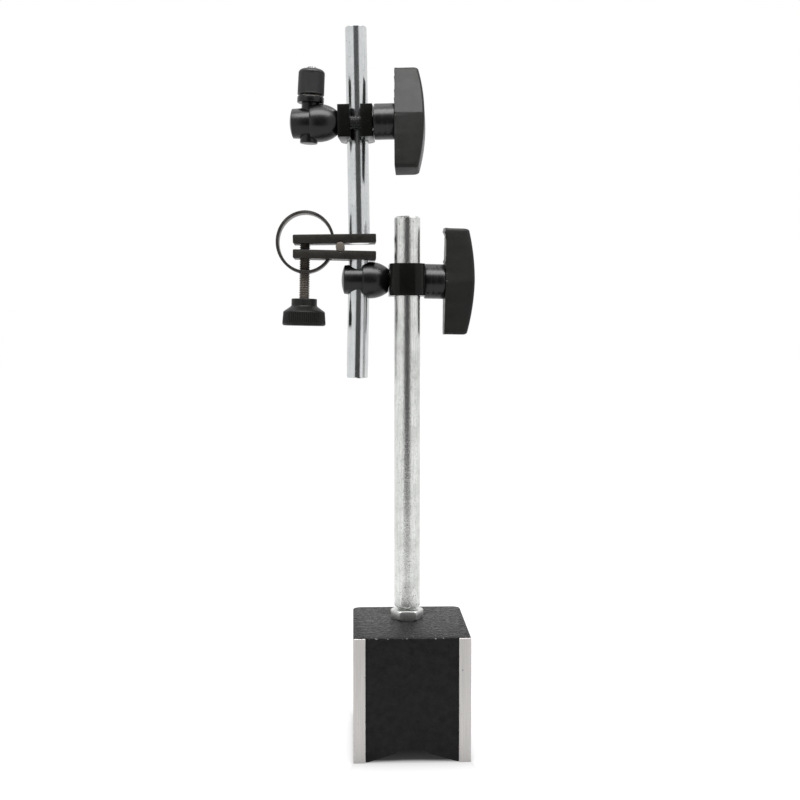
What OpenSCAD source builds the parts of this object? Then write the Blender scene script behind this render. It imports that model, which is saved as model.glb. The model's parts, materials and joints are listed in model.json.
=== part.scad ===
// Magnetic-base stand: a switchable magnet block, a post, an arm of two
// rods joined by a fine-adjusting rocker, and two rod clamps with swivels.
// The origin is the middle of the base's underside and +Z is up. The plain
// magnetic face of the base looks along -Y and its switch along +Y.

/* [Magnetic base] */
// Width of the base across its two pole pieces
base_w = 51.5; // [50:0.5:58]
// Depth of the base from the plain face to the switch face
base_d = 60; // [58:1:66]
// Height of the base
base_h = 55; // [54:1:60]
// Width of each ground strip at the sides of the plain face
strip_w = 5.3; // [4:0.1:6]
// Depth by which the painted middle lies behind the ground strips
face_recess = 0.8; // [0.4:0.1:1.2]
// Radius of the upright corners beside the switch
corner_r = 4; // [2:0.5:6]
// Half the width of the V groove at the underside
groove_half_w = 19.5; // [16:0.5:20]
// Height of the V groove where it meets the relief slot
groove_h = 3.8; // [3:0.1:5.5]
// Width of the relief slot where it opens into the V groove
relief_w = 14; // [12:0.5:15]
// Width of the flat at the top of the relief slot
relief_top_w = 12.2; // [10:0.2:13]
// Height of the top of the relief slot
relief_h = 5.4; // [5:0.2:7]
// Thickness of the non-magnetic spacer between the pole pieces
spacer_t = 2; // [1.5:0.5:3]

/* [Switch] */
// Radius of the turning magnet
rotor_r = 16; // [14:0.5:16.5]
// Height of the turning magnet's axis
rotor_z = 30; // [28:0.5:30]
// Thickness of the magnet between its two iron shoes
magnet_t = 12; // [8:1:14]
// Radius of the switch knob
switch_r = 14; // [12:0.5:15]
// Switch travel between off and on, in degrees
switch_travel = 90; // [60:5:100]

/* [Post] */
// Diameter of the post
post_dia = 12; // [11.5:0.1:12.5]
// Length of the post
post_len = 180.5; // [176:0.5:240]
// Distance of the post to the right of the middle of the base
post_x = -0.6; // [-1:0.1:1]
// Distance of the post behind the middle of the base
post_y = 8; // [4:0.5:9]
// Width across the flats of the jam nut
nut_af = 13.3; // [12:0.1:14]
// Height of the jam nut
nut_h = 4.3; // [4:0.1:5]

/* [Arm] */
// Diameter of the two arm rods
rod_dia = 10; // [9.8:0.1:10.2]
// Sideways place of the arm rods, from the post's axis
rod_x = -22.1; // [-23:0.1:-21.5]
// Length of the lower arm rod
lower_rod_len = 58.9; // [50:0.1:80]
// Length of the upper arm rod
upper_rod_len = 99.2; // [90:0.2:140]
// Height of the underside of the lower rocker plate
plate_z = 221.1; // [221:0.1:230]
// Thickness of each rocker plate
plate_t = 4; // [4:0.1:4.6]
// Width of the rocker plates
plate_w = 14; // [13:0.5:16]
// Gap between the rocker plates at the fulcrum
plate_gap = 3.4; // [3.2:0.1:3.8]
// Lean of the upper half of the arm against the lower half, in degrees
rocker_lean = 1.95; // [0.5:0.05:2.5]

/* [Clamps] */
// Height of the lower clamp's axis
lower_z = 212; // [150:1:212]
// Lean of the lower draw bolt and the arm in the lower clamp, in degrees
lower_lean = 1.1; // [0:0.1:1.1]
// Height of the upper clamp's axis along the upper rod
upper_z = 282.9; // [275:0.1:310]
// Swing of the upper clamp round its rod, in degrees
upper_swing = -5; // [-10:0.5:10]
// Width of the slot that splits a clamp block
slot_w = 4.9; // [4:0.1:6]
// Diameter of the draw bolts
bolt_dia = 6; // [5.8:0.1:6.2]
// Length of a wing knob
wing_len = 49.2; // [44:0.2:50]
// Turn of the upper wing knob from upright, in degrees
upper_wing_turn = 17; // [-90:1:90]
// Lean of the indicator pin in its swivel, in degrees
pin_lean = 3.6; // [0:0.1:4]
// Diameter of the indicator pin
pin_dia = 8; // [7:0.5:8]

/* [Hidden] */
$fn = 64;
run = 0.06;                              // radial clearance of a running fit

// Base
back_wall = 8;                           // iron left behind the magnet's bore
bush_t = 6;
hub_t = 3;
bore_r = rotor_r + run;
bore_y = back_wall - base_d / 2;         // blind end of the bore
face_y = base_d / 2;                     // switch face
bush_y = face_y - bush_t;
hub_y = bush_y - 0.1 - hub_t;
shaft_r = 4;
shaft_end_y = face_y + 8;
knob_gap = 0.4;
knob_y = face_y + knob_gap;
knob_disc_t = 6;
knob_t = 13.6;
bar_w = 9;
head_recess = 3;
stop_r = 1.5;
stop_pitch_r = 10;
stop_out = 2.8;
screw_r = 2;

// Post
post_r = post_dia / 2;
stud_r = 4;
stud_depth = 7.4;                        // thread taken up in the base
stud_in_post = 12;
post_z = base_h + 5.3;
nut_chamfer = 0.7;

// Arm
rod_r = rod_dia / 2;
bolt_r = bolt_dia / 2;
bolt_gap = 0.5;                          // daylight between a draw bolt and its rod
lower_bolt_off = post_r + bolt_r + bolt_gap;
upper_bolt_off = rod_r + bolt_r + bolt_gap;
plate_left = -30.6;                      // ends of the plates, from the rods' axis
plate_right = 7.7;
pin_x = -8.9;                            // fulcrum, from the rods' axis
screw_x = -25.3;                         // fine screw, from the rods' axis
fulcrum_r = 2.1;
upper_plate_z = plate_z + plate_t + plate_gap;
fulcrum_z = plate_z + plate_t + plate_gap / 2;
plate_chamfer = 0.4;
ring_t = 1.3;
ring_w = 9;
ring_x = -25.1;                          // middle of the ring, from the rods' axis
ring_z = fulcrum_z + 2;
ring_a = 12.95;
ring_b = 13.8;
ring_from = 13;                          // angles of the ring's two ends
ring_to = 327.5;
ring_steps = 56;
notch_w = 2.4;
notch_depth = 1;
fine_r = 2.5;
fine_bottom = 194;
fine_tip_r = 3.4;
fine_knob_z = 190.1;
tip_gap = 0.03;

// Clamps, along the bolt from the rod that the clamp holds
block_lower_w = 16.4;
block_upper_w = 15.8;
block_h = 14.6;
block_reach = 14.3;                      // from the rod's axis to the block's open end
block_round = 6;
head_r = 6.85;
head_in = -14.6;                         // inner end of the bolt's head
head_tip = -30.2;
head_dome_r = 17.5;
cup_r = 8.55;
cup_mid = -17.1;
cup_long = 11.1;
cup_rim = -20.5;
cup_floor = -14.2;
cup_steps = 18;
bolt_end = 24;
collar_r = 8.1;
collar_from = 8.45;
wing_from = 17.9;
wing_edge = 28.5;                        // wing knob's outer side at its tips
wing_crown = 31.5;                       // and at its middle
wing_tip_w = 10;
wing_mid_w = 17;
insert_r = 4.5;
insert_to = 27;
cross_lower = rod_x;                     // arm rod's place along the lower bolt
cross_upper = -21.2;                     // pin's place along the upper bolt

// Indicator holder, along the pin from the bolt's axis
pin_r = pin_dia / 2;
pin_bottom = -9.2;
flange_z = 9;
flange_t = 2.8;
flange_r = 6.1;
holder_stud_r = 2.4;
holder_stud_top = 25.3;
nut_z = 12.5;
thumb_h = 11.9;
thumb_r = 6.1;
nut_core_r = 4;

black = "#1d1d1f";
steel = "#d4d6d6";
grey = "#8c8c8c";
brass = "#b08d4c";

// ---------- frames ----------

// Lower clamp, on the post's axis
module lower_clamp_frame() translate([post_x, post_y, lower_z]) children();

// Lower draw bolt: it leans in its clamp and takes the arm with it
module lower_bolt_frame()
    lower_clamp_frame() translate([0, lower_bolt_off, 0]) rotate([0, lower_lean, 0]) children();

// Lower half of the arm, with heights measured along the lower rod
module rod_frame() lower_bolt_frame() translate([rod_x, 0, -lower_z]) children();

// Upper half of the arm, which leans about the fulcrum
module upper_frame()
    rod_frame()
        translate([pin_x, 0, fulcrum_z])
            rotate([0, -rocker_lean, 0])
                translate([-pin_x, 0, -fulcrum_z])
                    children();

module upper_clamp_frame()
    upper_frame() translate([0, 0, upper_z]) rotate([0, 0, upper_swing]) children();

module upper_bolt_frame() upper_clamp_frame() translate([0, -upper_bolt_off, 0]) children();

module pin_frame() upper_bolt_frame() translate([cross_upper, 0, 0]) rotate([0, pin_lean, 0]) children();

// ---------- shared shapes ----------

// Cylinder along X from one place to another
module bar_x(from, to, r) translate([from, 0, 0]) rotate([0, 90, 0]) cylinder(h = to - from, r = r);

// Cylinder along Y from one place to another
module bar_y(from, to, r) translate([0, from, 0]) rotate([-90, 0, 0]) cylinder(h = to - from, r = r);

// Upright rod with chamfered ends
module rod(from, to, r, chamfer) {
    translate([0, 0, from]) cylinder(h = chamfer, r1 = r - chamfer, r2 = r);
    translate([0, 0, from + chamfer]) cylinder(h = to - from - 2 * chamfer, r = r);
    translate([0, 0, to - chamfer]) cylinder(h = chamfer, r1 = r, r2 = r - chamfer);
}

// ---------- magnetic base ----------

module base_plan() {
    half_w = base_w / 2;
    inner_w = base_w - 2 * strip_w;
    difference() {
        union() {
            translate([-half_w, -face_y]) square([base_w, base_d - corner_r]);
            translate([corner_r - half_w, -face_y]) square([base_w - 2 * corner_r, base_d]);
            for (side = [-1, 1])
                translate([side * (half_w - corner_r), face_y - corner_r]) circle(corner_r);
        }
        translate([-inner_w / 2, -face_y - 1]) square([inner_w, face_recess + 1]);
    }
}

module groove_profile()
    polygon([[-groove_half_w, 0], [-relief_w / 2, groove_h], [-relief_top_w / 2, relief_h],
             [relief_top_w / 2, relief_h], [relief_w / 2, groove_h], [groove_half_w, 0],
             [groove_half_w, -1], [-groove_half_w, -1]]);

// The whole block, bored for the magnet and tapped for the post
module base_block()
    difference() {
        linear_extrude(base_h) base_plan();
        translate([0, base_d, 0]) rotate([90, 0, 0]) linear_extrude(2 * base_d) groove_profile();
        translate([0, 0, rotor_z]) bar_y(bore_y, base_d, bore_r);
        translate([post_x, post_y, base_h - stud_depth - 0.1]) cylinder(h = base_h, r = stud_r + run);
    }

module pole(side)
    intersection() {
        base_block();
        translate([side > 0 ? spacer_t / 2 : -base_w, -base_d, -1])
            cube([base_w - spacer_t / 2, 2 * base_d, 2 * base_h]);
    }

module pole_left() color(grey) pole(-1);
module pole_right() color(grey) pole(1);

module pole_spacer()
    color(brass)
        intersection() {
            base_block();
            translate([-spacer_t / 2, -base_d, -1]) cube([spacer_t, 2 * base_d, 2 * base_h]);
        }

// Disc that closes the bore and carries the switch shaft
module bore_bush()
    color(grey)
        translate([0, 0, rotor_z])
            difference() {
                bar_y(bush_y, face_y, bore_r);
                bar_y(bush_y - 1, face_y + 1, shaft_r + run);
                translate([stop_pitch_r, 0, 0]) bar_y(face_y - 4, face_y + 1, stop_r);
            }

module stop_pin()
    color(steel)
        translate([stop_pitch_r, 0, rotor_z]) bar_y(face_y - 4, face_y + stop_out, stop_r);

// ---------- switch ----------

module magnet_slab() translate([-rotor_r, bore_y + 0.1, rotor_z - magnet_t / 2])
    cube([2 * rotor_r, hub_y - bore_y - 0.1, magnet_t]);

module rotor_body() translate([0, 0, rotor_z]) bar_y(bore_y + 0.1, hub_y, rotor_r);

module rotor_magnet() color("#55504c") intersection() { rotor_body(); magnet_slab(); }

module rotor_shoes() color(grey) difference() { rotor_body(); magnet_slab(); }

module rotor_hub()
    color(brass)
        translate([0, 0, rotor_z])
            difference() {
                union() {
                    bar_y(hub_y, hub_y + hub_t, rotor_r);
                    bar_y(hub_y, shaft_end_y, shaft_r);
                }
                bar_y(shaft_end_y - 8, shaft_end_y + 1, screw_r);
            }

// Round knob with a grip bar, and an arc behind it that the stop pin runs in
module switch_knob()
    color(black)
        translate([0, 0, rotor_z])
            difference() {
                union() {
                    bar_y(knob_y, knob_y + knob_disc_t, switch_r);
                    intersection() {
                        bar_y(knob_y, knob_y + knob_t, switch_r);
                        translate([-switch_r, knob_y, -bar_w / 2]) cube([2 * switch_r, knob_t, bar_w]);
                    }
                }
                bar_y(knob_y - 1, shaft_end_y, shaft_r);
                bar_y(knob_y, knob_y + knob_t + 1, screw_r);
                bar_y(knob_y + knob_t - head_recess, knob_y + knob_t + 1, 4);
                translate([0, knob_y + stop_out, 0])
                    rotate([90, 0, 0])
                        rotate_extrude(angle = switch_travel)
                            translate([stop_pitch_r - stop_r - 0.2, 0])
                                square([2 * stop_r + 0.4, stop_out + 1]);
                for (turn = [0, switch_travel])
                    rotate([0, -turn, 0])
                        translate([stop_pitch_r, 0, 0])
                            bar_y(knob_y - 1, knob_y + stop_out, stop_r + 0.2);
            }

module switch_screw()
    color(steel)
        translate([0, 0, rotor_z])
            union() {
                bar_y(knob_y + knob_t - head_recess, knob_y + knob_t - 0.4, 3.6);
                bar_y(shaft_end_y - 7, knob_y + knob_t - head_recess, screw_r);
            }

// ---------- post ----------

module jam_nut()
    color(steel)
        translate([post_x, post_y, base_h])
            difference() {
                corner_round = nut_af / 2 / cos(30);
                intersection() {
                    cylinder(h = nut_h, r = corner_round, $fn = 6);
                    rod(0, nut_h, corner_round + 0.1, nut_chamfer);
                }
                translate([0, 0, -1]) cylinder(h = nut_h + 2, r = stud_r + run);
            }

module post_stud()
    color(steel)
        translate([post_x, post_y, base_h - stud_depth])
            cylinder(h = post_z + stud_in_post + stud_depth - base_h, r = stud_r);

module post_rod()
    color(steel)
        translate([post_x, post_y, post_z])
            difference() {
                rod(0, post_len, post_r, 0.8);
                translate([0, 0, -1]) cylinder(h = stud_in_post + 1, r = stud_r);
            }

// ---------- clamps ----------

// Block that wraps a rod, split by a slot that the draw bolt closes
module clamp_block(width, hole_r, bolt_off, bolt_lean)
    difference() {
        half = width / 2;
        inset = half - block_round;
        translate([0, 0, -block_h / 2])
            linear_extrude(block_h) {
                translate([-half, inset * -1]) square([width, block_reach + inset]);
                translate([-inset, -half]) square([2 * inset, half]);
                for (side = [-1, 1]) translate([side * inset, -inset]) circle(block_round);
            }
        translate([0, 0, -block_h]) cylinder(h = 2 * block_h, r = hole_r + run);
        translate([-slot_w / 2, 0, -block_h]) cube([slot_w, 2 * block_reach, 2 * block_h]);
        translate([0, bolt_off, 0]) rotate([0, bolt_lean, 0]) bar_x(-width, width, bolt_r + run);
    }

// Hole across a swivel for the rod or pin that it grips
module cross_hole(x, r, lean)
    translate([x, 0, 0]) rotate([0, lean, 0]) cylinder(h = 60, r = r + run, center = true);

// Bolt with a domed head; the cross hole goes through the head
module draw_bolt(x, r, lean)
    difference() {
        union() {
            intersection() {
                bar_x(head_tip, head_in, head_r);
                translate([head_tip + head_dome_r, 0, 0]) sphere(head_dome_r);
            }
            bar_x(head_in, bolt_end, bolt_r);
        }
        cross_hole(x, r, lean);
    }

// Half outline of the cup: an elliptic dome, cut flat where it meets the block
function cup_outline(flat) =
    [for (i = [0:cup_steps])
        let (x = cup_rim + (flat - cup_rim) * i / cup_steps)
            [cup_r * sqrt(1 - pow((x - cup_mid) / cup_long, 2)), x]];

// Cup that slides over the bolt's head and presses the rod into the hole
module cup(flat, x, r, lean)
    difference() {
        rotate([0, 90, 0])
            rotate_extrude()
                polygon(concat([[0, cup_rim]], cup_outline(flat), [[0, flat]]));
        bar_x(cup_rim - 1, cup_floor, head_r + 0.05);
        bar_x(cup_floor - 1, flat + 1, bolt_r + run);
        cross_hole(x, r, lean);
    }

module collar()
    difference() {
        bar_x(collar_from, wing_from, collar_r);
        bar_x(collar_from - 1, wing_from + 1, bolt_r + run);
    }

// Wing knob: flat inside, bowed outside, thickest at its middle
module wing_knob() {
    half_len = wing_len / 2;
    bow = wing_crown - wing_edge;
    bow_r = (half_len * half_len + bow * bow) / (2 * bow);
    difference() {
        intersection() {
            translate([wing_from, 0, 0])
                rotate([0, 90, 0])
                    linear_extrude(wing_crown - wing_from)
                        polygon([[half_len, -wing_tip_w / 2], [half_len, wing_tip_w / 2],
                                 [0, wing_mid_w / 2], [-half_len, wing_tip_w / 2],
                                 [-half_len, -wing_tip_w / 2], [0, -wing_mid_w / 2]]);
            translate([wing_crown - bow_r, 0, 0]) bar_y(-wing_mid_w, wing_mid_w, bow_r);
        }
        bar_x(wing_from - 1, insert_to, insert_r);
    }
}

module knob_insert()
    difference() {
        bar_x(wing_from, insert_to, insert_r);
        bar_x(wing_from - 1, insert_to + 1, bolt_r + run);
    }

module lower_clamp()
    color(black)
        lower_clamp_frame() clamp_block(block_lower_w, post_r, lower_bolt_off, lower_lean);
module lower_draw_bolt() color(black) lower_bolt_frame() draw_bolt(cross_lower, rod_r, 0);
module lower_cup() color(black) lower_bolt_frame() cup(-block_lower_w / 2 - 0.15, cross_lower, rod_r, 0);
module lower_collar() color(black) lower_bolt_frame() collar();
module lower_wing_knob() color(black) lower_bolt_frame() wing_knob();
module lower_knob_insert() color(brass) lower_bolt_frame() knob_insert();

module upper_clamp()
    color(black)
        upper_clamp_frame() rotate([0, 0, 180]) clamp_block(block_upper_w, rod_r, upper_bolt_off, 0);
module upper_draw_bolt() color(black) upper_bolt_frame() draw_bolt(cross_upper, pin_r, pin_lean);
module upper_cup()
    color(black)
        upper_bolt_frame() cup(-block_upper_w / 2 - 0.05, cross_upper, pin_r, pin_lean);
module upper_collar() color(black) upper_bolt_frame() collar();
module upper_wing_knob() color(black) upper_bolt_frame() rotate([-upper_wing_turn, 0, 0]) wing_knob();
module upper_knob_insert() color(brass) upper_bolt_frame() knob_insert();

// ---------- arm and rocker ----------

module lower_rod()
    color(steel) rod_frame() rod(plate_z + plate_t - lower_rod_len, plate_z + plate_t, rod_r, 0.4);

module upper_rod()
    color(steel)
        upper_frame() rod(upper_plate_z, upper_plate_z + upper_rod_len, rod_r, 0.4);

// Plate with a chamfered outline, from its underside upward
module plate_blank()
    translate([0, plate_w / 2, 0])
        rotate([90, 0, 0])
            linear_extrude(plate_w)
                polygon([[plate_left, plate_chamfer], [plate_left + plate_chamfer, 0],
                         [plate_right - plate_chamfer, 0], [plate_right, plate_chamfer],
                         [plate_right, plate_t - plate_chamfer],
                         [plate_right - plate_chamfer, plate_t],
                         [plate_left + plate_chamfer, plate_t],
                         [plate_left, plate_t - plate_chamfer]]);

// Square groove on its corner, touched by the fulcrum pin from outside the plate
module fulcrum_groove(height)
    translate([pin_x, 0, height])
        rotate([0, 45, 0])
            cube([2 * fulcrum_r + 0.04, 2 * plate_w, 2 * fulcrum_r + 0.04], center = true);

module ring_notch(x, height)
    translate([x, 0, height]) cube([notch_w, ring_w + 0.6, 2 * notch_depth], center = true);

module lower_plate()
    color(black)
        rod_frame()
            difference() {
                translate([0, 0, plate_z]) plate_blank();
                translate([0, 0, plate_z - 1]) cylinder(h = plate_t + 2, r = rod_r + run);
                translate([screw_x, 0, plate_z - 1]) cylinder(h = plate_t + 2, r = fine_r + run);
                fulcrum_groove(fulcrum_z);
                ring_notch(ring_x + ring_a * cos(ring_to), plate_z);
            }

module fulcrum_pin()
    color(grey) rod_frame() translate([pin_x, 0, fulcrum_z]) bar_y(-plate_w / 2, plate_w / 2, fulcrum_r);

module upper_plate()
    color(black)
        upper_frame()
            difference() {
                translate([0, 0, upper_plate_z]) plate_blank();
                translate([0, 0, upper_plate_z - 1]) cylinder(h = plate_t + 2, r = rod_r + run);
                fulcrum_groove(fulcrum_z);
                ring_notch(ring_x + ring_a * cos(ring_from), upper_plate_z + plate_t);
            }

// Points along one side of the ring's band
function ring_side(offset, from, to) =
    [for (i = [0:ring_steps])
        let (turn = from + (to - from) * i / ring_steps)
            [(ring_a + offset) * cos(turn), (ring_b + offset) * sin(turn)]];

// Open ring that squeezes the plates; the fine screw goes through its lower side
module ring_spring()
    color(black)
        rod_frame()
            difference() {
                translate([ring_x, ring_w / 2, ring_z])
                    rotate([90, 0, 0])
                        linear_extrude(ring_w)
                            polygon(concat(ring_side(ring_t / 2, ring_from, ring_to),
                                           ring_side(-ring_t / 2, ring_to, ring_from)));
                translate([screw_x, 0, ring_z - 2 * ring_b]) cylinder(h = 2 * ring_b, r = fine_r + 0.5);
            }

// Height at which the leaning upper plate's underside meets the fine screw
function tip_z() = fulcrum_z + (plate_gap / 2) / cos(rocker_lean)
    + (screw_x - pin_x) * tan(rocker_lean) - tip_gap;

module fine_screw()
    color(grey)
        rod_frame()
            translate([screw_x, 0, 0])
                intersection() {
                    translate([0, 0, fine_bottom]) cylinder(h = tip_z() - fine_bottom, r = fine_r);
                    union() {
                        translate([0, 0, tip_z() - fine_tip_r]) sphere(fine_tip_r);
                        translate([0, 0, fine_bottom]) cylinder(h = tip_z() - 2 - fine_bottom, r = 4);
                    }
                }

module fine_knob()
    color(black)
        rod_frame()
            translate([screw_x, 0, fine_knob_z])
                rotate_extrude()
                    polygon([[fine_r + run, 1.5], [4, 1.5], [4, 0.6], [9.2, 0], [10.1, 1], [9.7, 6.2],
                             [9.2, 6.9], [6.1, 9.1], [5.95, 9.4], [5.95, 12.3], [5.6, 12.6],
                             [fine_r + run, 12.6]]);

// ---------- indicator holder ----------

module holder_pin()
    color(black)
        pin_frame()
            union() {
                rod(pin_bottom, flange_z + flange_t, pin_r, 0.4);
                translate([0, 0, flange_z]) cylinder(h = flange_t, r = flange_r);
                rod(flange_z, holder_stud_top, holder_stud_r, 0.4);
            }

module nut_insert()
    color(brass)
        pin_frame()
            translate([0, 0, nut_z])
                difference() {
                    cylinder(h = thumb_h - 1.4, r = nut_core_r - run);
                    translate([0, 0, -1]) cylinder(h = thumb_h + 1, r = holder_stud_r + run);
                }

module thumb_nut()
    color(black)
        pin_frame()
            translate([0, 0, nut_z])
                rotate_extrude()
                    polygon([[nut_core_r, 0], [thumb_r - 0.4, 0], [thumb_r, 0.4],
                             [thumb_r - 0.1, thumb_h - 1.6], [thumb_r - 1, thumb_h - 0.5],
                             [thumb_r - 2.6, thumb_h], [holder_stud_r + 0.2, thumb_h],
                             [holder_stud_r + 0.2, thumb_h - 1.3], [nut_core_r, thumb_h - 1.3]]);

pole_left();
pole_right();
pole_spacer();
bore_bush();
stop_pin();
rotor_magnet();
rotor_shoes();
rotor_hub();
switch_knob();
switch_screw();
jam_nut();
post_stud();
post_rod();
lower_clamp();
lower_draw_bolt();
lower_cup();
lower_collar();
lower_wing_knob();
lower_knob_insert();
lower_rod();
lower_plate();
fulcrum_pin();
ring_spring();
fine_screw();
fine_knob();
upper_plate();
upper_rod();
upper_clamp();
upper_draw_bolt();
upper_cup();
upper_collar();
upper_wing_knob();
upper_knob_insert();
holder_pin();
nut_insert();
thumb_nut();
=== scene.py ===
import json
import math

import bmesh
import bpy
from mathutils import Matrix, Vector, noise


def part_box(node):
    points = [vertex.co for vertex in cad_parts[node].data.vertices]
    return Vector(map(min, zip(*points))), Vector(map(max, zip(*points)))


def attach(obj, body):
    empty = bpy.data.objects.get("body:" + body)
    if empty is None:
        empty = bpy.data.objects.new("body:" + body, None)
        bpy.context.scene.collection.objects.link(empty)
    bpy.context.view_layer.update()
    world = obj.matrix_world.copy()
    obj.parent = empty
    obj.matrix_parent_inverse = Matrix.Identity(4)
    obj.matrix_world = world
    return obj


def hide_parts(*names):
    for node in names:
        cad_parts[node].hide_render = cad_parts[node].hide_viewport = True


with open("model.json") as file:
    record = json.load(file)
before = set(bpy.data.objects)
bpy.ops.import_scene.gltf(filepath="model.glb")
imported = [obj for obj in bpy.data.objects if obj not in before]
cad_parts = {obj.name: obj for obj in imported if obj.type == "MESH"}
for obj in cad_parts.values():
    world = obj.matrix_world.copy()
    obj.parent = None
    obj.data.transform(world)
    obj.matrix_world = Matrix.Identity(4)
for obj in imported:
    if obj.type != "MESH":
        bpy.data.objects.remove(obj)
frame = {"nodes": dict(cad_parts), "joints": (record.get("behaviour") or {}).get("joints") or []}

# A magnetic-base indicator stand. Sizes are millimetres, and MM turns them into Blender's metres.
# The stage, the lamps and the camera are in metres.
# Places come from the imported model: its node boxes and its joint axes.
MM = 0.001
UPPER_WING_TURN = -17           # degrees, how the upper wing knob stands on its bolt
POST_FOOT = (62, 100)           # heights between which the post's specks thin out
POST_HEAD = (200, 238)          # heights between which they come back
HEAD_IN = -14.6                 # where a draw bolt's head ends and its shank begins, along the bolt
END_ROUND = 2.4                 # rounding of the head's outer end
FLANGE_UNDER = -3.5             # underside of the indicator pin's flange, from the nut's underside
FLANGE_THICK = 2.8
SIDE_FALL = 6                   # how much faster the floor's painted shadow (its dimmed glow) ends beside the base than before it
EYE = (-0.02555, -0.52978, 0.18749)                     # the camera's place, in metres
EYE_PITCH, EYE_YAW, EYE_LENS = 3.267, 2.307, 52.506     # degrees down, degrees right, millimetres
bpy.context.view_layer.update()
JOINTS = {j["name"]: j for j in frame["joints"]}


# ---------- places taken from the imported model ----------

def box(node):
    """Lowest and highest corner of a CAD node, in millimetres."""
    low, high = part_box(node)
    return low / MM, high / MM


def local_box(node, place):
    """The same corners, along the axes of a piece's own frame."""
    inside = place.inverted() @ frame["nodes"][node].matrix_world
    points = [inside @ v.co / MM for v in frame["nodes"][node].data.vertices]
    return (Vector([min(p[i] for p in points) for i in range(3)]),
            Vector([max(p[i] for p in points) for i in range(3)]))


def placed(origin, axis, up, along="X"):
    """Matrix in metres whose local X (or Z) runs along axis, with its other upright direction near up."""
    a = Vector(axis).normalized()
    side = Vector(up).cross(a).normalized()
    third = a.cross(side)
    if along == "X":
        cols = (a, side, third)
    else:
        cols = (-third, side, a)
    m = Matrix((cols[0], cols[1], cols[2])).transposed().to_4x4()
    m.translation = Vector(origin)
    return m


def about_joint(name, up, along="X"):
    j = JOINTS[name]
    return placed(j["pos_m"], j["axis"], up, along)


LOWER_BOLT = about_joint("lower_swivel_turn", JOINTS["lower_rod_turn"]["axis"])
UPPER_BOLT = about_joint("upper_swivel_turn", JOINTS["upper_rod_turn"]["axis"])
LOWER_WING = LOWER_BOLT
UPPER_WING = UPPER_BOLT @ Matrix.Rotation(math.radians(UPPER_WING_TURN), 4, "X")
THUMB = about_joint("thumb_nut_spin", (1, 0, 0), along="Z")
FINE = about_joint("fine_knob_spin", (1, 0, 0), along="Z")


# ---------- procedural materials ----------

class Graph:
    """A material's node tree, with one short call for each kind of node."""

    def __init__(self, name):
        self.mat = bpy.data.materials.new(name)
        self.mat.use_nodes = True
        self.tree = self.mat.node_tree
        self.tree.nodes.clear()
        self.bsdf = self.tree.nodes.new("ShaderNodeBsdfPrincipled")
        out = self.tree.nodes.new("ShaderNodeOutputMaterial")
        self.tree.links.new(self.bsdf.outputs[0], out.inputs[0])

    def node(self, kind, *inputs, **settings):
        """Makes a node. inputs are (socket, value or output socket) pairs."""
        n = self.tree.nodes.new(kind)
        for key, value in settings.items():
            setattr(n, key, value)
        for socket, value in inputs:
            if isinstance(value, bpy.types.NodeSocket):
                self.tree.links.new(value, n.inputs[socket])
            else:
                n.inputs[socket].default_value = value
        return n

    def place(self, scale=(1, 1, 1)):
        """The piece's own coordinates in millimetres, stretched by scale."""
        coord = self.node("ShaderNodeTexCoord").outputs["Object"]
        return self.node("ShaderNodeMapping", ("Vector", coord),
                         ("Scale", [s / MM for s in scale])).outputs[0]

    def split(self, vector):
        return self.node("ShaderNodeSeparateXYZ", ("Vector", vector)).outputs

    def noise(self, vector, scale, detail=3, rough=0.55):
        return self.node("ShaderNodeTexNoise", ("Vector", vector), ("Scale", scale),
                         ("Detail", detail), ("Roughness", rough)).outputs[0]

    def cells(self, vector, scale, feature="F1"):
        return self.node("ShaderNodeTexVoronoi", ("Vector", vector), ("Scale", scale),
                         feature=feature).outputs["Distance"]

    def span(self, value, low, high, to_low=0.0, to_high=1.0):
        """Value mapped from low..high to to_low..to_high, held at the ends."""
        return self.node("ShaderNodeMapRange", ("Value", value), ("From Min", low),
                         ("From Max", high), ("To Min", to_low), ("To Max", to_high)).outputs[0]

    def math(self, operation, a, b=0.0):
        return self.node("ShaderNodeMath", (0, a), (1, b), operation=operation).outputs[0]

    def mix(self, share, a, b):
        n = self.node("ShaderNodeMix", ("Factor", share), data_type="RGBA")
        for socket, value in ((n.inputs[6], a), (n.inputs[7], b)):
            if isinstance(value, bpy.types.NodeSocket):
                self.tree.links.new(value, socket)
            else:
                socket.default_value = (*value, 1)
        return n.outputs[2]

    def bump(self, height, strength, distance, under=None):
        inputs = [("Height", height), ("Strength", strength), ("Distance", distance * MM)]
        if under is not None:
            inputs.append(("Normal", under))
        return self.node("ShaderNodeBump", *inputs).outputs[0]

    def finish(self, **values):
        """Sets the shader's inputs: colour=, metallic=, roughness=, normal= and so on."""
        names = {"colour": "Base Color", "metallic": "Metallic", "roughness": "Roughness",
                 "normal": "Normal", "specular": "Specular IOR Level"}
        for key, value in values.items():
            socket = self.bsdf.inputs[names[key]]
            if isinstance(value, bpy.types.NodeSocket):
                self.tree.links.new(value, socket)
            elif key == "colour":
                socket.default_value = (*value, 1)
            else:
                socket.default_value = value
        return self.mat


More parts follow.
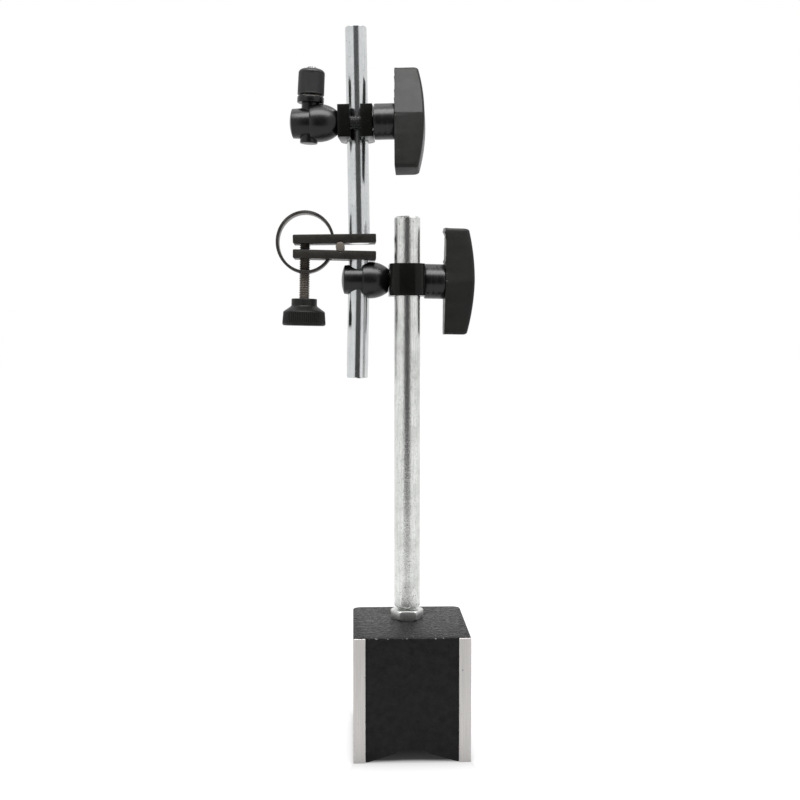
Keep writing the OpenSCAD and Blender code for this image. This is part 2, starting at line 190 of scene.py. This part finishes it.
def zinc(name, shade, dull, roughness, peel, specks=0.0, grain=0.0):
    """Zinc plate on a rod: fine orange peel, long drawing lines, dull patches, dark grain and specks."""
    g = Graph(name)
    p = g.place()
    patches = g.noise(p, 0.12, 4)
    lines = g.noise(g.place((1, 1, 0.03)), 2.2, 2)
    fine = g.noise(p, 1.2, 4, 0.7)
    pits = g.span(g.noise(p, 1.3, 2, 0.4), 0.66, 0.72)
    height = g.split(p)[2]
    foot = g.span(height, *POST_FOOT, specks, specks * 0.12)
    head = g.span(height, *POST_HEAD, 0, specks)
    pits = g.math("MULTIPLY", pits, g.math("MAXIMUM", foot, head))
    colour = g.mix(g.span(patches, 0.4, 0.7), shade, dull)
    colour = g.mix(g.span(lines, 0.35, 0.7, 0.0, 0.45), colour, [c * 0.75 for c in dull])
    dust = g.span(g.noise(g.place((1, 1, 0.6)), 1.5, 2, 0.5), 0.5, 0.68, 0, grain)
    colour = g.mix(dust, colour, (0.16, 0.155, 0.14))
    colour = g.mix(pits, colour, (0.10, 0.095, 0.085))
    rough = g.span(g.math("ADD", patches, fine), 0.6, 1.4, roughness * 0.75, roughness * 1.35)
    normal = g.bump(fine, peel, 0.05)
    normal = g.bump(pits, 0.5, -0.05, normal)
    return g.finish(colour=colour, metallic=1.0, roughness=rough, normal=normal)


def black_oxide(name, tone, roughness, grain=0.25, worn=0.0, specular=0.5):
    """Blackened turned steel: satin, with a fine grain and a little wear."""
    g = Graph(name)
    p = g.place()
    cloud = g.noise(p, 0.25, 4)
    fine = g.noise(p, 4.0, 3, 0.6)
    rub = g.span(g.noise(p, 0.9, 5, 0.65), 0.60, 0.72, 0.0, worn)
    colour = g.mix(cloud, [c * 0.7 for c in tone], [c * 1.35 for c in tone])
    colour = g.mix(rub, colour, (0.16, 0.15, 0.14))
    rough = g.span(g.math("ADD", cloud, fine), 0.6, 1.4, roughness * 0.8, roughness * 1.25)
    return g.finish(colour=colour, metallic=0.25, roughness=rough, specular=specular,
                    normal=g.bump(fine, grain, 0.02))


def plastic(name, tone, roughness, grain):
    """Moulded black plastic: a fine matt grain over slow waviness."""
    g = Graph(name)
    p = g.place()
    wave = g.noise(p, 0.18, 2)
    fine = g.noise(p, 1.8, 4, 0.7)
    colour = g.mix(g.span(fine, 0.35, 0.7), tone, [c * 1.5 for c in tone])
    rough = g.span(g.math("ADD", fine, wave), 0.7, 1.3, roughness * 0.85, roughness * 1.2)
    normal = g.bump(wave, 0.05, 0.3, g.bump(fine, grain, 0.05))
    return g.finish(colour=colour, roughness=rough, normal=normal, specular=0.16)


def turned(name, tone, roughness, step):
    """Turned metal: rings left by the tool, by distance from the piece's own Z axis."""
    g = Graph(name)
    p = g.place()
    x, y, z = g.split(p)
    radius = g.math("SQRT", g.math("ADD", g.math("MULTIPLY", x, x), g.math("MULTIPLY", y, y)))
    rings = g.math("SINE", g.math("MULTIPLY", g.math("ADD", radius, z), 2 * math.pi / step))
    cloud = g.noise(p, 0.4, 4)
    colour = g.mix(g.span(cloud, 0.3, 0.7), tone, [c * 0.72 for c in tone])
    rough = g.span(cloud, 0.3, 0.7, roughness * 0.8, roughness * 1.3)
    return g.finish(colour=colour, metallic=1.0, roughness=rough, normal=g.bump(rings, 0.2, 0.02))


def base_finish():
    """Crackle enamel over cast iron. The strips of the magnetic faces are ground bright."""
    g = Graph("base_enamel_and_ground_iron")
    p = g.place()
    x, y, z = g.split(p)
    low, high = box("pole_left")[0], box("pole_right")[1]
    strip = box("pole_spacer")[0].y - 0.25

    # Where the iron is bare: the proud front strips, the underside's lands, and chips on the edges
    ragged = g.span(g.noise(p, 0.9, 4, 0.6), 0.3, 0.7, -0.22, 0.22)
    front = g.span(g.math("ADD", y, ragged), low.y + 0.16, low.y + 0.42, 1, 0)
    under = g.span(g.math("ADD", z, ragged), 0.05, 0.3, 1, 0)
    chip_noise = g.span(g.noise(p, 0.55, 5, 0.7), 0.57, 0.63)
    edge_band = g.math("MULTIPLY", g.span(y, strip + 0.1, strip + 0.75, 1, 0),
                       g.span(z, high.z - 0.7, high.z - 0.25, 0, 1))
    chips = g.math("MULTIPLY", chip_noise, edge_band)
    bare = g.math("MAXIMUM", g.math("MAXIMUM", front, under), chips)

    # Enamel: wrinkles of about 1 mm with glossy tops
    warp = g.noise(p, 0.5, 3)
    wrinkle = g.noise(g.node("ShaderNodeVectorMath", (0, p), (1, warp), operation="ADD").outputs[0],
                      0.75, 4, 0.6)
    cell = g.cells(p, 0.62, "SMOOTH_F1")
    relief = g.math("ADD", g.math("MULTIPLY", wrinkle, 1.2), cell)
    mottle = g.noise(p, 0.30, 5, 0.65)
    paint = g.mix(g.span(mottle, 0.3, 0.7), (0.0035, 0.0035, 0.0037), (0.0095, 0.0095, 0.0098))
    paint_rough = g.span(wrinkle, 0.38, 0.66, 0.48, 0.24)

    # Ground iron: fine upright lines and a few dark nicks
    lines = g.noise(g.place((1, 1, 0.012)), 3.2, 3, 0.6)
    nick = g.span(g.noise(p, 0.7, 3, 0.5), 0.70, 0.73)
    iron = g.mix(g.span(lines, 0.3, 0.7), (0.55, 0.53, 0.515), (0.44, 0.43, 0.42))
    iron = g.mix(nick, iron, (0.09, 0.08, 0.075))

    colour = g.mix(bare, paint, iron)
    rough = g.math("ADD", g.math("MULTIPLY", g.math("SUBTRACT", 1.0, bare), paint_rough),
                   g.math("MULTIPLY", bare, 0.5))
    skin = g.math("MULTIPLY", g.math("SUBTRACT", 1.0, bare), relief)
    skin = g.math("MULTIPLY", skin, g.span(y, strip + 0.8, strip + 2.0, 0.4, 1.0))
    normal = g.bump(skin, 1.0, 0.6)
    normal = g.bump(g.math("MULTIPLY", lines, bare), 0.25, 0.03, normal)
    return g.finish(colour=colour, metallic=g.math("MULTIPLY", bare, 0.75), roughness=rough,
                    normal=normal, specular=0.12)


POST_ZINC = zinc("zinc_plate_post", (0.74, 0.75, 0.73), (0.57, 0.58, 0.56), 0.19, 2.0, 1.0, 0.18)
ROD_ZINC = zinc("zinc_plate_rods", (0.67, 0.685, 0.69), (0.57, 0.59, 0.60), 0.17, 0.25, 0.5, 0.06)
NUT_ZINC = zinc("zinc_plate_nut", (0.83, 0.84, 0.82), (0.68, 0.69, 0.67), 0.32, 0.35, 0.5)
OXIDE_BLOCK = black_oxide("black_oxide_block", (0.0045, 0.0045, 0.004), 0.20, 0.12, 0.04, 0.15)
OXIDE_SWIVEL = black_oxide("black_oxide_swivel", (0.0035, 0.0035, 0.004), 0.28, 0.12, 0.04, 0.42)
OXIDE_COLLAR = black_oxide("black_oxide_collar", (0.0035, 0.0035, 0.004), 0.28, 0.08, 0.04, 0.45)
OXIDE_THREAD = black_oxide("black_oxide_thread", (0.03, 0.03, 0.03), 0.16, 0.08, 0.2, 0.8)
OXIDE_PLATE = black_oxide("black_oxide_plate", (0.012, 0.011, 0.009), 0.40, 0.35, 0.14, 0.3)
OXIDE_SCREW = black_oxide("black_oxide_screw", (0.10, 0.088, 0.073), 0.40, 0.2, 0.40)
KNOB_PLASTIC = plastic("black_knob_plastic", (0.008, 0.008, 0.0075), 0.34, 0.9)
FINE_PLASTIC = plastic("black_fine_knob_plastic", (0.005, 0.005, 0.0045), 0.40, 0.25)
KNURL_BLACK = black_oxide("black_knurl", (0.007, 0.007, 0.007), 0.40, 0.3, 0.08, 0.4)
BRASS = turned("turned_brass", (0.66, 0.50, 0.24), 0.30, 0.35)
STEEL = turned("turned_steel", (0.62, 0.62, 0.62), 0.28, 0.30)
MAGNET = black_oxide("sintered_magnet", (0.06, 0.055, 0.05), 0.6, 0.5, 0.1)
SPRING_OUT = black_oxide("spring_outside", (0.016, 0.014, 0.012), 0.40, 0.25, 0.20)
SPRING_IN = black_oxide("spring_inside", (0.075, 0.055, 0.042), 0.38, 0.25, 0.35)
BASE = base_finish()


# ---------- mesh makers ----------

def piece(name, bm, body, material, nodes=(), place=None, sharp=35):
    """Turns a bmesh in millimetres into a piece that rides on a body and stands for CAD nodes."""
    bmesh.ops.recalc_face_normals(bm, faces=bm.faces)
    mesh = bpy.data.meshes.new(name)
    bm.to_mesh(mesh)
    bm.free()
    mesh.transform(Matrix.Scale(MM, 4))
    for poly in mesh.polygons:
        poly.use_smooth = True
    mesh.set_sharp_from_angle(angle=math.radians(sharp))
    for m in material if isinstance(material, (list, tuple)) else [material]:
        mesh.materials.append(m)
    obj = bpy.data.objects.new(name, mesh)
    bpy.context.scene.collection.objects.link(obj)
    if place is not None:
        obj.matrix_world = place
    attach(obj, body)
    if nodes:
        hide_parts(*nodes)
    return obj


def revolve(profile, segments=96, ripple=None, closed=False):
    """Surface of revolution about Z. profile is (radius, height) pairs; a zero radius is a pole.
    ripple(angle, radius, height) gives the radius at each angle. closed joins the last ring to the
    first."""
    bm = bmesh.new()
    rings = []
    for r, h in profile:
        if r <= 1e-6:
            rings.append([bm.verts.new((0, 0, h))])
            continue
        ring = []
        for i in range(segments):
            a = 2 * math.pi * i / segments
            rr = ripple(a, r, h) if ripple else r
            ring.append(bm.verts.new((rr * math.cos(a), rr * math.sin(a), h)))
        rings.append(ring)
    pairs = list(zip(rings, rings[1:]))
    if closed:
        pairs.append((rings[-1], rings[0]))
    for low, high in pairs:
        for i in range(segments):
            j = (i + 1) % segments
            if len(low) == 1:
                bm.faces.new((low[0], high[j], high[i]))
            elif len(high) == 1:
                bm.faces.new((low[i], low[j], high[0]))
            else:
                bm.faces.new((low[i], low[j], high[j], high[i]))
    return bm


def saw(x):
    """Triangle wave from 0 at whole numbers to 1 half-way between them."""
    return 1 - abs(2 * (x % 1.0) - 1)


def threaded(radius, pitch, bottom, top, segments=40, lead=0.5):
    """Rod with a right-hand V thread between two heights, tapered at both ends."""
    depth = 0.61 * pitch
    steps = max(8, round((top - bottom) / pitch * 10))

    def cut(angle, r, h):
        groove = saw(h / pitch - angle / (2 * math.pi))
        groove = min(1.0, max(0.0, (groove - 0.12) / 0.76))
        ease = min(1.0, (h - bottom) / lead, (top - h) / lead)
        return min(r - depth * groove, radius - depth * (1 - max(0.0, ease)))

    heights = [bottom + (top - bottom) * i / steps for i in range(steps + 1)]
    profile = [(0, bottom)] + [(radius, h) for h in heights] + [(0, top)]
    return revolve(profile, segments, cut)


def round_edges(bm, edges, width):
    bmesh.ops.bevel(bm, geom=edges, offset=width, offset_type="OFFSET", segments=2, profile=0.5,
                    affect="EDGES", clamp_overlap=True)


def rounded_copy(node, width, angle=40):
    """The CAD node's own shape with its sharp edges rounded, as a bmesh in millimetres.
    On the base the edges along the spacer's two joints with the poles stay sharp, so that no seam
    shows, and so do the inside corners, so that the turning magnet has its room."""
    bm = bmesh.new()
    bm.from_mesh(frame["nodes"][node].data)
    bmesh.ops.scale(bm, vec=(1 / MM,) * 3, verts=bm.verts)
    bmesh.ops.remove_doubles(bm, verts=bm.verts, dist=0.002)
    bmesh.ops.dissolve_limit(bm, angle_limit=math.radians(0.6), verts=bm.verts, edges=bm.edges)
    bmesh.ops.recalc_face_normals(bm, faces=bm.faces)
    seam = box("pole_right")[0].x if node.startswith("pole_") else None

    def stays(e):
        a, b = e.verts[0].co.x, e.verts[1].co.x
        return seam is not None and (not e.is_convex or abs(a - b) < 0.01 and abs(abs(a) - seam) < 0.01)

    sharp = [e for e in bm.edges if len(e.link_faces) == 2
             and e.calc_face_angle(0) > math.radians(angle) and not stays(e)]
    round_edges(bm, sharp, width)
    return bm


def softened(node, body, material, width, angle=40):
    """Replaces a CAD node with its own shape, edges rounded."""
    return piece(node + "_body", rounded_copy(node, width, angle), body, material, (node,))


def paint_node(node, material):
    """Gives a CAD node whose shape stays a procedural material."""
    data = frame["nodes"][node].data
    data.materials.clear()
    data.materials.append(material)


# ---------- base ----------

for side in ("left", "right"):
    softened("pole_" + side, "base", BASE, 0.3)
softened("pole_spacer", "base", BASE, 0.3)
softened("jam_nut", "base", NUT_ZINC, 0.12, angle=25)
paint_node("bore_bush", STEEL)
paint_node("stop_pin", STEEL)
paint_node("rotor_magnet", MAGNET)
paint_node("rotor_shoes", STEEL)
paint_node("rotor_hub", BRASS)
softened("switch_knob", "switch", KNOB_PLASTIC, 0.5)
paint_node("switch_screw", STEEL)

# ---------- post ----------

paint_node("post_rod", POST_ZINC)
stud_low, stud_high = box("post_stud")
stud_at = (stud_low + stud_high) / 2
piece("post_stud_thread", threaded((stud_high.x - stud_low.x) / 2, 1.25, stud_low.z, stud_high.z),
      "post", NUT_ZINC, ("post_stud",),
      Matrix.Translation((stud_at.x * MM, stud_at.y * MM, 0)))


# ---------- clamps ----------

ACROSS = Matrix.Rotation(math.radians(90), 4, "Y")     # a piece's local Z along a bolt's X


def collar(name, body, place, node):
    """Turned collar with bevelled ends and two light tool grooves."""
    low, high = local_box(node, place)
    start, end, r, hole = low.x, high.x, high.y, 3.06
    profile = [(hole, start), (r - 0.5, start), (r - 0.12, start + 0.2), (r, start + 0.6)]
    for groove in (start + 3.3, start + 5.9):
        profile += [(r, groove - 0.25), (r - 0.07, groove), (r, groove + 0.25)]
    profile += [(r, end - 0.4), (r - 0.12, end - 0.12), (r - 0.4, end), (hole, end)]
    piece(name, revolve(profile, 256, closed=True), body, OXIDE_COLLAR, (node,),
          place @ ACROSS)


def wing(name, body, place, node, seed, ragged):
    """Wing knob: thickest half-way, bowed outside, with round edges. Moulding flash stands out along
    the edge of its inner face, by as much as ragged says."""
    low, high = local_box(node, place)
    half = (high.z - low.z) / 2
    inside, crown, bow = low.x, high.x, 3.0
    mid_w, tip_w = high.y - low.y, 10.0
    bow_r = (half * half + bow * bow) / (2 * bow)
    outer_r, inner_r, end_r = 1.5, 0.35, 1.1

    def corner(cx, cy, r, start):
        return [(cx + r * math.cos(math.radians(start + 90 * k / 5)),
                 cy + r * math.sin(math.radians(start + 90 * k / 5))) for k in range(6)]

    def section(z):
        """Ring of (x, y) at height z, inset where the ends are rounded."""
        d = half - abs(z)
        inset = end_r - math.sqrt(max(0.0, end_r ** 2 - max(0.0, end_r - d) ** 2))
        w = (mid_w + (tip_w - mid_w) * math.sqrt(z * z + 0.2 ** 2) / half) / 2 - inset
        out = crown - (bow_r - math.sqrt(bow_r ** 2 - z * z)) - inset * 1.5
        x0 = inside + inset * 0.25
        ring = corner(out - outer_r, w - outer_r, outer_r, 0)
        ring.append((x0 + 1.3, w))                  # keeps the moulding flash at the edge
        ring += corner(x0 + inner_r, w - inner_r, inner_r, 90)
        ring += corner(x0 + inner_r, -w + inner_r, inner_r, 180)
        ring.append((x0 + 1.3, -w))
        ring += corner(out - outer_r, -w + outer_r, outer_r, 270)
        return ring

    ends = [half - end_r * (1 - math.cos(math.radians(90 * k / 6))) for k in range(6)]
    inner = [(half - end_r) * k / 22 for k in range(22, 0, -1)]
    near = [0.8, 0.35, 0.12]
    positive = ends + [v for v in inner if v > 1.0] + near
    heights = [-v for v in positive] + [0.0] + positive[::-1]

    def flash_at(x, y, z):
        if x >= inside + 0.5:
            return 0.0
        wobble = noise.noise(Vector((z * 0.9, y * 0.6, seed)))
        return max(0.0, wobble - 0.05) * ragged + (0.3 * ragged if z > half - 3 else 0)

    bm = bmesh.new()
    rings = []
    for z in heights:
        back = 0.9 if z > 4 else 0.1
        beyond = math.copysign(0.5, z) if abs(z) > half - 1 else 0
        ring = []
        for x, y in section(z):
            flash = flash_at(x, y, z)
            wider = 1 + flash / max(6.0, abs(y))
            ring.append(bm.verts.new((x - flash * back, y * wider, z + flash * beyond)))
        rings.append(ring)
    for a, b in zip(rings, rings[1:]):
        for i in range(len(a)):
            j = (i + 1) % len(a)
            bm.faces.new((a[i], a[j], b[j], b[i]))
    bm.faces.new(rings[0])
    bm.faces.new(rings[-1][::-1])
    piece(name, bm, body, KNOB_PLASTIC, (node,), place, sharp=50)


def round_the_end(bm):
    """Draws in the rim of a bolt head's outer end, so that it is rounded by END_ROUND."""
    tip = min(v.co.x for v in bm.verts)
    radius = max(math.hypot(v.co.y, v.co.z) for v in bm.verts)
    for v in bm.verts:
        depth = v.co.x - tip
        if depth < END_ROUND:
            across = math.hypot(v.co.y, v.co.z)
            most = radius - END_ROUND + math.sqrt(max(0.0, END_ROUND ** 2 - (END_ROUND - depth) ** 2))
            if across > most:
                v.co.y *= most / across
                v.co.z *= most / across


def draw_bolt(node, body, place):
    """Bolt with a domed head that a cross hole goes through, and an M6 thread along its shank."""
    bm = bmesh.new()
    bm.from_mesh(frame["nodes"][node].data)
    bmesh.ops.transform(bm, matrix=place.inverted(), verts=bm.verts)
    bmesh.ops.scale(bm, vec=(1 / MM,) * 3, verts=bm.verts)
    bmesh.ops.remove_doubles(bm, verts=bm.verts, dist=0.002)
    # The plain shank is cut off and the thread takes its place
    cut = bmesh.ops.bisect_plane(bm, geom=bm.verts[:] + bm.edges[:] + bm.faces[:], dist=1e-5,
                                 plane_co=(HEAD_IN + 0.3, 0, 0), plane_no=(1, 0, 0), clear_outer=True)
    open_edges = [e for e in cut["geom_cut"] if isinstance(e, bmesh.types.BMEdge)]
    bmesh.ops.contextual_create(bm, geom=open_edges)
    bmesh.ops.dissolve_limit(bm, angle_limit=math.radians(0.6), verts=bm.verts, edges=bm.edges)
    sharp = [e for e in bm.edges
             if len(e.link_faces) == 2 and e.calc_face_angle(0) > math.radians(40)]
    round_edges(bm, sharp, 0.12)
    round_the_end(bm)
    piece(node + "_head", bm, body, OXIDE_SWIVEL, (node,), place)
    end = local_box(node, place)[1].x
    piece(node + "_thread", threaded(3.0, 1.0, HEAD_IN, end), body, OXIDE_THREAD, (node,),
          place @ ACROSS)


softened("lower_clamp", "lower_clamp", OXIDE_BLOCK, 0.35)
softened("upper_clamp", "upper_clamp", OXIDE_BLOCK, 0.35)
softened("lower_cup", "lower_swivel", OXIDE_SWIVEL, 0.12)
softened("upper_cup", "upper_swivel", OXIDE_SWIVEL, 0.12)
draw_bolt("lower_draw_bolt", "lower_swivel", LOWER_BOLT)
draw_bolt("upper_draw_bolt", "upper_swivel", UPPER_BOLT)
collar("lower_collar_turned", "lower_knob", LOWER_BOLT, "lower_collar")
collar("upper_collar_turned", "upper_knob", UPPER_BOLT, "upper_collar")
wing("lower_wing_moulded", "lower_knob", LOWER_WING, "lower_wing_knob", 3.7, 1.3)
wing("upper_wing_moulded", "upper_knob", UPPER_WING, "upper_wing_knob", 11.2, 0.5)
paint_node("lower_knob_insert", BRASS)
paint_node("upper_knob_insert", BRASS)

# ---------- arm ----------

paint_node("lower_rod", ROD_ZINC)
paint_node("upper_rod", ROD_ZINC)
softened("lower_plate", "lower_arm", OXIDE_PLATE, 0.2)
softened("upper_plate", "rocker", OXIDE_PLATE, 0.2)
softened("fulcrum_pin", "lower_arm", OXIDE_SCREW, 0.15)


def ring():
    """The open ring, dark outside and brown inside."""
    bm = rounded_copy("ring_spring", 0.12, 50)
    low, high = box("ring_spring")
    centre = (low + high) / 2
    for f in bm.faces:
        away = f.calc_center_median() - centre
        away.y = 0
        faces_inward = f.normal.dot(away.normalized()) < -0.4
        if faces_inward:
            f.material_index = 1
    piece("ring_spring_body", bm, "lower_arm", [SPRING_OUT, SPRING_IN], ("ring_spring",))


ring()
screw_low, screw_high = local_box("fine_screw", FINE)
piece("fine_screw_thread", threaded(screw_high.x, 0.8, screw_low.z, screw_high.z, 32, 0.35),
      "fine_screw", OXIDE_SCREW, ("fine_screw",), FINE)


def ribbed_knob():
    """Fine-adjusting knob: a ribbed drum that flares downward, a cone and a collar."""
    low = local_box("fine_knob", FINE)[0]
    ribs = 60
    drum_low, drum_high = 0.9, 6.4

    def rib(angle, r, h):
        if not drum_low < h < drum_high:
            return r
        ease = min(1.0, (h - drum_low) / 0.4, (drum_high - h) / 0.4)
        return r - 0.32 * ease * (0.5 - 0.5 * math.cos(ribs * angle)) ** 2

    drum = [(10.1 - 0.4 * k / 14, 1.0 + 5.2 * k / 14) for k in range(15)]
    profile = [(2.56, 1.5), (4.0, 1.5), (4.0, 0.6), (9.0, 0.02), (9.6, 0.15), (9.95, 0.5)]
    profile += drum + [(9.6, 6.5), (9.2, 6.9), (8.0, 7.75), (7.0, 8.45), (6.3, 8.95), (6.05, 9.25),
                       (5.95, 9.6), (5.95, 12.15), (5.85, 12.45), (5.6, 12.6), (2.56, 12.6)]
    place = FINE @ Matrix.Translation((0, 0, low.z * MM))
    piece("fine_knob_ribbed", revolve(profile, 360, rib, closed=True), "fine_knob", FINE_PLASTIC,
          ("fine_knob",), place, sharp=60)


ribbed_knob()


# ---------- indicator holder ----------

def holder():
    """Pin with its flange, the bright stud above it and the knurled nut on the stud."""
    low, high = local_box("holder_pin", THUMB)       # heights from the underside of the thumb nut
    bottom, top, under = low.z, high.z, FLANGE_UNDER
    over = under + FLANGE_THICK
    pin = [(0, bottom), (3.6, bottom), (3.87, bottom + 0.1), (4, bottom + 0.4), (4, under),
           (5.7, under), (5.98, under + 0.1), (6.1, under + 0.35), (6.1, over - 0.35),
           (5.98, over - 0.1), (5.7, over), (2.0, over)]
    piece("holder_pin_turned", revolve(pin, 96), "holder_pin", OXIDE_SWIVEL,
          ("holder_pin",), THUMB)
    piece("holder_stud_thread", threaded(2.4, 0.8, over - 0.2, top, 40, 0.4), "holder_pin",
          STEEL, ("holder_pin",), THUMB)

    knurl_low, knurl_high = 0.5, 10.0

    def knurl(angle, r, h):
        if not knurl_low < h < knurl_high or r < 5.5:
            return r
        ease = min(1.0, (h - knurl_low) / 0.35, (knurl_high - h) / 0.35)
        turns = 30 * angle / (2 * math.pi)
        cut = max(saw(turns + h / 1.3), saw(turns - h / 1.3))
        return r - 0.15 * ease * max(0.0, cut - 0.35) / 0.65

    wall = [(6.1 - 0.1 * k / 48, 0.4 + 9.7 * k / 48) for k in range(49)]
    nut = [(4.0, 0), (5.5, 0), (5.85, 0.1)] + wall
    nut += [(5.88, 10.5), (5.6, 10.95), (5.15, 11.35), (4.5, 11.65), (3.8, 11.83), (3.2, 11.9),
            (2.62, 11.9), (2.6, 10.6), (4.0, 10.6)]
    piece("thumb_nut_knurled", revolve(nut, 240, knurl, closed=True), "thumb_nut", KNURL_BLACK,
          ("thumb_nut",), THUMB, sharp=60)
    paint_node("nut_insert", BRASS)


holder()


# ---------- stage, light and camera ----------

def plain(name, tone):
    """Almost even matt colour for the stage."""
    g = Graph(name)
    cloud = g.noise(g.place(), 0.01, 2)
    g.finish(colour=g.mix(cloud, tone, [c * 1.01 for c in tone]), roughness=0.9)
    return g


def glowing_floor_painted_shadow():
    """Grey floor that glows white, except under and close to the base, where less glow paints the base's
    shadow.
    The painted shadow reaches further in front of the base than beside it."""
    g = plain("floor_glow_painted_shadow", (0.12, 0.12, 0.12))
    x, y, z = g.split(g.place())
    low, high = box("pole_left")[0], box("pole_right")[1]
    beside = g.math("MULTIPLY", g.math("SUBTRACT", g.math("ABSOLUTE", x), high.x), SIDE_FALL)
    before = g.math("SUBTRACT", g.math("ABSOLUTE", y), high.y)
    away = g.math("MAXIMUM", beside, before)
    # Painted shadow: under the base the floor glows only faintly
    glow = g.span(away, -25, -6, 0, 0.03)
    # Each step lets the floor glow more, from one distance off the base's edge to the next, so the dimmer
    # floor near the base is a painted shadow
    for start, end, step in ((-4, 0.8, 0.50), (0, 5, 0.13), (5, 10, 0.08), (9, 26, 0.12)):
        glow = g.math("ADD", glow, g.span(away, start, end, 0, step))
    g.bsdf.inputs["Emission Color"].default_value = (1, 1, 1, 1)
    g.tree.links.new(glow, g.bsdf.inputs["Emission Strength"])
    return g.mat


def panel(name, corners, material, seen=True):
    """Flat stage piece through four corners, in metres."""
    mesh = bpy.data.meshes.new(name)
    mesh.from_pydata(corners, [], [(0, 1, 2, 3)])
    mesh.materials.append(material)
    obj = bpy.data.objects.new(name, mesh)
    bpy.context.scene.collection.objects.link(obj)
    obj.visible_camera = seen
    return obj


def softbox(name, at, towards, size, watts):
    """Rectangular lamp facing a point."""
    lamp = bpy.data.lights.new(name, "AREA")
    lamp.shape = "RECTANGLE"
    lamp.size, lamp.size_y = size
    lamp.energy = watts
    obj = bpy.data.objects.new(name, lamp)
    obj.location = at
    obj.rotation_euler = (Vector(towards) - Vector(at)).to_track_quat("-Z", "Y").to_euler()
    bpy.context.scene.collection.objects.link(obj)


panel("floor", [(-6, -6, 0), (6, -6, 0), (6, 6, 0), (-6, 6, 0)], glowing_floor_painted_shadow())
panel("dark_card", [(-0.32, -0.56, 0.0), (0.27, -0.56, 0.0), (0.27, -0.56, 0.72), (-0.32, -0.56, 0.72)],
      plain("card_dark", (0.035, 0.035, 0.035)).mat, seen=False)

world = bpy.data.worlds.new("studio")
bpy.context.scene.world = world
world.use_nodes = True
world.node_tree.nodes["Background"].inputs["Color"].default_value = (1, 1, 1, 1)
world.node_tree.nodes["Background"].inputs["Strength"].default_value = 1.0
softbox("overhead", (0, 0.05, 1.25), (0, 0, 0), (1.3, 1.1), 6)
softbox("front_top", (0, -0.39, 0.92), (0, 0, 0.2), (1.0, 0.42), 13)

camera = bpy.data.cameras.new("camera")
camera.lens = EYE_LENS
camera.sensor_width = 36
camera.clip_start, camera.clip_end = 0.01, 50
eye = bpy.data.objects.new("camera", camera)
eye.location = EYE
eye.rotation_euler = (math.radians(90 - EYE_PITCH), 0, math.radians(-EYE_YAW))
bpy.context.scene.collection.objects.link(eye)
bpy.context.scene.camera = eye
bpy.context.scene.view_settings.view_transform = "Standard"
